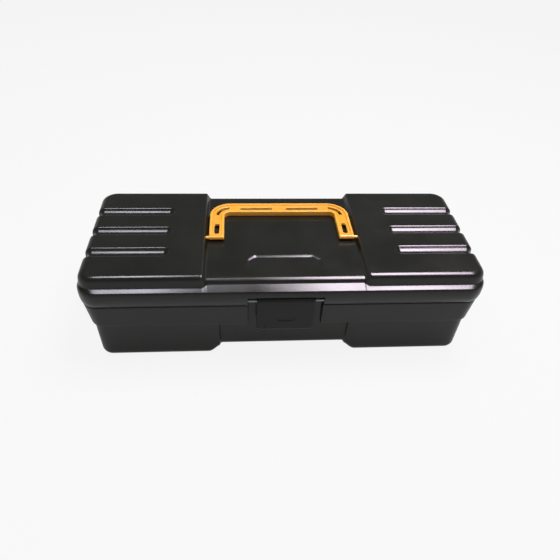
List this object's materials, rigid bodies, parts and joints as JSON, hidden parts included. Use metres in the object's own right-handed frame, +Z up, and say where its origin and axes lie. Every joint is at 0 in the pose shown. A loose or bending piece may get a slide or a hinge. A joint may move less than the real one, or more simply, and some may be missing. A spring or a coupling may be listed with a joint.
{
  "type": "toolbox",
  "caption": "Small lidded toolbox with rounded moulded shells, a fold-flat U-shaped carry handle, a swinging front latch and a lift-out tray with a finger grip.",
  "frame": {"origin": "centre of the bounding box on X and Y, on the floor under the feet", "axes": "+X along the box to the viewer's right when the latch faces the viewer, -Y the latch side, +Z up"},
  "size_m": [0.32, 0.1403, 0.0884],
  "materials": {
    "body_plastic": "fine grained satin black",
    "handle_plastic": "satin orange-yellow",
    "latch_plastic": "fine grained satin black",
    "pin_steel": "drawn wire",
    "tray_plastic": "satin black"
  },
  "bodies": {
    "base": {"base_shell": "body_plastic", "hinge_pin_left": "pin_steel", "hinge_pin_right": "pin_steel"},
    "lid": {"lid_shell": "body_plastic", "latch_pin": "pin_steel"},
    "handle": {"carry_handle": "handle_plastic"},
    "latch": {"front_latch": "latch_plastic"},
    "tray": {"lift_out_tray": "tray_plastic"}
  },
  "joints": [
    {"name": "lid_hinge", "type": "hinge", "parent": "base", "child": "lid", "pos_m": [0, 0.06695, 0.0604], "axis": [-1, 0, 0], "range_deg": [0, 105]},
    {"name": "handle_pivot", "type": "hinge", "parent": "lid", "child": "handle", "pos_m": [0, -0.00905, 0.0865], "axis": [1, 0, 0], "range_deg": [0, 180]},
    {"name": "latch_hinge", "type": "hinge", "parent": "lid", "child": "latch", "pos_m": [0, -0.06645, 0.0671], "axis": [-1, 0, 0], "range_deg": [-2, 100]},
    {"name": "tray_lift", "type": "slide", "parent": "base", "child": "tray", "axis": [0, 0, 1], "range_m": [0, 0.0825]}
  ],
  "couplings": [
    {"joint": "tray_lift", "follows": "lid_hinge", "m_per_rad": 0.045}
  ]
}
